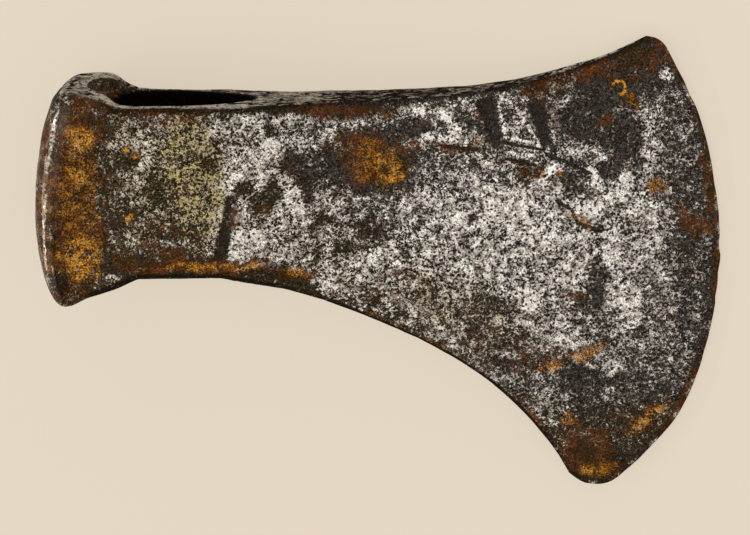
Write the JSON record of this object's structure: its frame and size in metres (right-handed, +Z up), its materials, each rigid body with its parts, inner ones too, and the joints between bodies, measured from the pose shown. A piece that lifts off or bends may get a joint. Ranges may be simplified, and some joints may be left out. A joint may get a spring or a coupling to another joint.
{
  "type": "axe head",
  "caption": "Hand-forged iron axe head with an oval haft eye, battered poll and flaring bearded blade, lying on its cheek.",
  "frame": {"origin": "on the ground, under the middle of the lying head's bounding box", "axes": "+X from the poll towards the cutting edge, +Y up along the haft eye, +Z up from the ground"},
  "size_m": [0.1756, 0.1186, 0.0371],
  "materials": {
    "forged_iron": "hammer-forged iron, pitted, worn bright on the faces, with brown and orange rust"
  },
  "bodies": {
    "root": {"axe_head": "forged_iron"}
  },
  "joints": []
}
